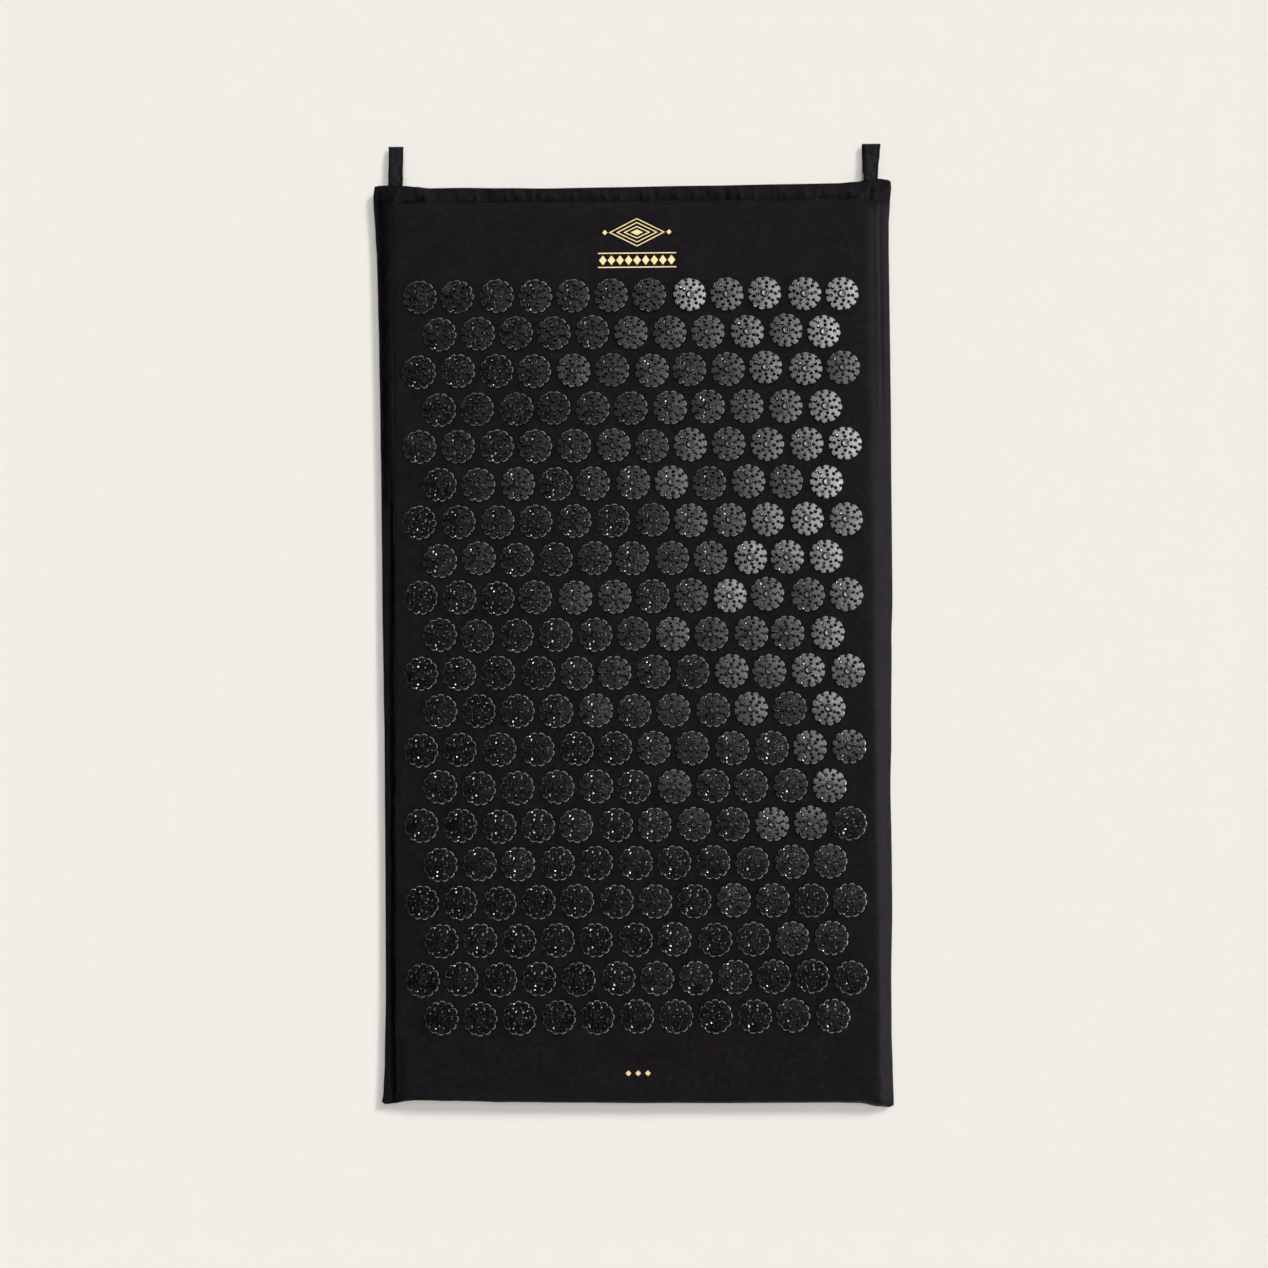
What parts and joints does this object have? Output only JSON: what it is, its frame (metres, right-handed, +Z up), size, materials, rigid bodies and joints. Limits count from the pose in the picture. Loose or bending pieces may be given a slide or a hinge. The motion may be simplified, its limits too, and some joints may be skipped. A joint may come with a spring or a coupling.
{
  "type": "acupressure mat",
  "caption": "Padded mat to lie or stand on: a foam slab in a sewn cotton cover, its top set with rows of spiked plastic discs, with two tape loops to hang it by.",
  "frame": {"origin": "on the floor under the middle of the whole outline, hanging loops included, with the mat lying flat and its discs up", "axes": "+X across the mat to the right as seen from the foot end, +Y along the mat towards the hanging loops, +Z up out of the discs"},
  "size_m": [0.418, 0.782, 0.0255],
  "materials": {
    "cover_cotton": "matt black plain-woven cotton, slightly purple where the light rakes it",
    "foam": "open-cell pale foam, hidden inside the cover",
    "disc_plastic": "black moulded plastic, satin to glossy, bright at the spikes' tips",
    "loop_tape": "matt black cotton tape"
  },
  "bodies": {
    "mat": {"cover_top_panel": "cover_cotton", "cover_back_panel": "cover_cotton", "foam_pad": "foam", "disc_row_01": "disc_plastic", "disc_row_02": "disc_plastic", "disc_row_03": "disc_plastic", "disc_row_04": "disc_plastic", "disc_row_05": "disc_plastic", "disc_row_06": "disc_plastic", "disc_row_07": "disc_plastic", "disc_row_08": "disc_plastic", "disc_row_09": "disc_plastic", "disc_row_10": "disc_plastic", "disc_row_11": "disc_plastic", "disc_row_12": "disc_plastic", "disc_row_13": "disc_plastic", "disc_row_14": "disc_plastic", "disc_row_15": "disc_plastic", "disc_row_16": "disc_plastic", "disc_row_17": "disc_plastic", "disc_row_18": "disc_plastic", "disc_row_19": "disc_plastic", "disc_row_20": "disc_plastic"},
    "loop_left": {"hanging_loop_left": "loop_tape"},
    "loop_right": {"hanging_loop_right": "loop_tape"}
  },
  "joints": [
    {"name": "loop_left_hinge", "type": "hinge", "parent": "mat", "child": "loop_left", "pos_m": [-0.1945, 0.3594, 0.0101], "axis": [1, 0, 0], "range_deg": [0, 100]},
    {"name": "loop_right_hinge", "type": "hinge", "parent": "mat", "child": "loop_right", "pos_m": [0.1945, 0.3594, 0.0101], "axis": [1, 0, 0], "range_deg": [0, 100]}
  ]
}
